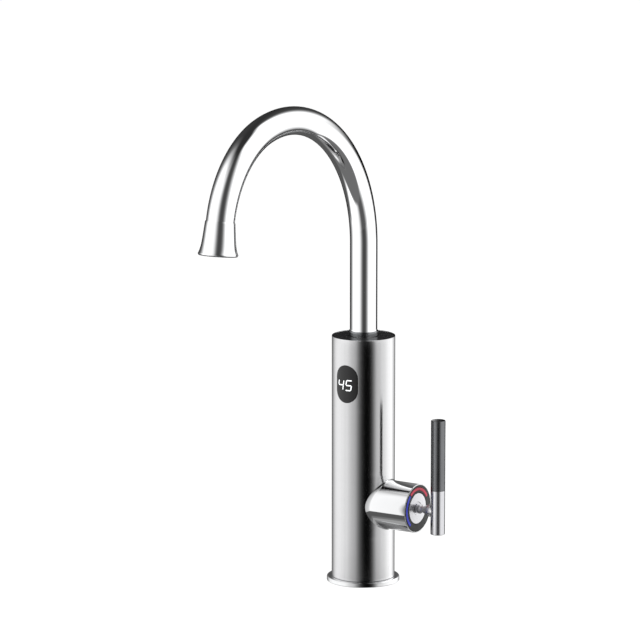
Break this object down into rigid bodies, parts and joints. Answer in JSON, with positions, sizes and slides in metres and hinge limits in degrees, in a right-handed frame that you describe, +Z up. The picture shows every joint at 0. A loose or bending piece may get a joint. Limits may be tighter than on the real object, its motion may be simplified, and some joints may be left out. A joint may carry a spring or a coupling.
{
  "type": "boiling water tap",
  "caption": "Upright kitchen tap with an instant heater in its round body, a swivelling curved spout, a temperature display and a turning side lever.",
  "frame": {"origin": "middle of the underside of the base, on the worktop", "axes": "+Z up along the body, -Y towards the user and the way the spout reaches, +X towards the lever"},
  "size_m": [0.1084, 0.2518, 0.4056],
  "materials": {
    "chrome": "mirror polished chrome plate",
    "brushed_steel": "fine vertical brushing",
    "spun_steel": "circular spin brushing",
    "plain_steel": "as drawn or machined",
    "brass": "machined",
    "gloss_black": "gloss",
    "dark_grip": "satin dark grey coating",
    "dark_ring": "satin",
    "hot_light": "lit red light guide",
    "cold_light": "lit blue light guide",
    "white_plastic": "moulded",
    "grey_plastic": "moulded satin",
    "rubber": "moulded",
    "ceramic": "lapped",
    "board": "circuit board with solder mask",
    "digit_light": "lit white segments"
  },
  "bodies": {
    "body": {"base_flange": "chrome", "worktop_gasket": "rubber", "base_manifold": "brass", "cable_gland": "rubber", "body_shell": "brushed_steel", "top_cap": "gloss_black", "spout_socket": "brass", "swivel_ring_nut": "brass", "display_window": "gloss_black", "display_seal": "rubber", "display_board": "board", "display_digit_tens": "digit_light", "display_digit_units": "digit_light", "heater_tank": "plain_steel", "tank_seal": "rubber", "tank_lid": "plain_steel", "heating_element": "plain_steel", "thermal_cutout": "grey_plastic", "temperature_probe": "brass", "hot_riser_pipe": "plain_steel", "tank_feed_pipe": "plain_steel", "bypass_pipe": "plain_steel", "power_board": "board", "heater_relay": "gloss_black", "terminal_block": "white_plastic", "valve_boss": "chrome", "valve_housing": "brass", "cartridge_seal": "rubber", "fixed_ceramic_disc": "ceramic", "cartridge_body": "white_plastic", "cartridge_nut": "brass", "indicator_board": "board", "face_ring": "dark_ring", "hot_indicator_arc": "hot_light", "cold_indicator_arc": "cold_light", "flow_sensor_housing": "white_plastic", "flow_sensor_axle": "plain_steel"},
    "spout": {"spout_tube": "chrome", "swivel_collar": "grey_plastic", "swivel_bush": "white_plastic", "lower_spout_o_ring": "rubber", "upper_spout_o_ring": "rubber", "outlet_bell": "chrome", "aerator_housing": "brass", "aerator_grille": "grey_plastic", "aerator_washer": "rubber"},
    "lever": {"lever_hub": "spun_steel", "lever_stem": "chrome", "cartridge_spindle": "plain_steel", "spindle_o_ring": "rubber", "moving_ceramic_disc": "ceramic", "lever_sleeve": "chrome", "lever_grip": "dark_grip", "lever_core": "plain_steel", "lever_set_screw": "plain_steel"},
    "flow_rotor": {"flow_sensor_rotor": "gloss_black"}
  },
  "joints": [
    {"name": "spout_swivel", "type": "hinge", "parent": "body", "child": "spout", "pos_m": [0, 0, 0.19], "axis": [0, 0, 1], "continuous": true},
    {"name": "lever_turn", "type": "hinge", "parent": "body", "child": "lever", "pos_m": [0.0532, 0, 0.0668], "axis": [1, 0, 0], "range_deg": [-50, 130]},
    {"name": "flow_rotor_spin", "type": "hinge", "parent": "body", "child": "flow_rotor", "pos_m": [0, 0.0115, 0.036], "axis": [0, 0, 1], "continuous": true}
  ]
}
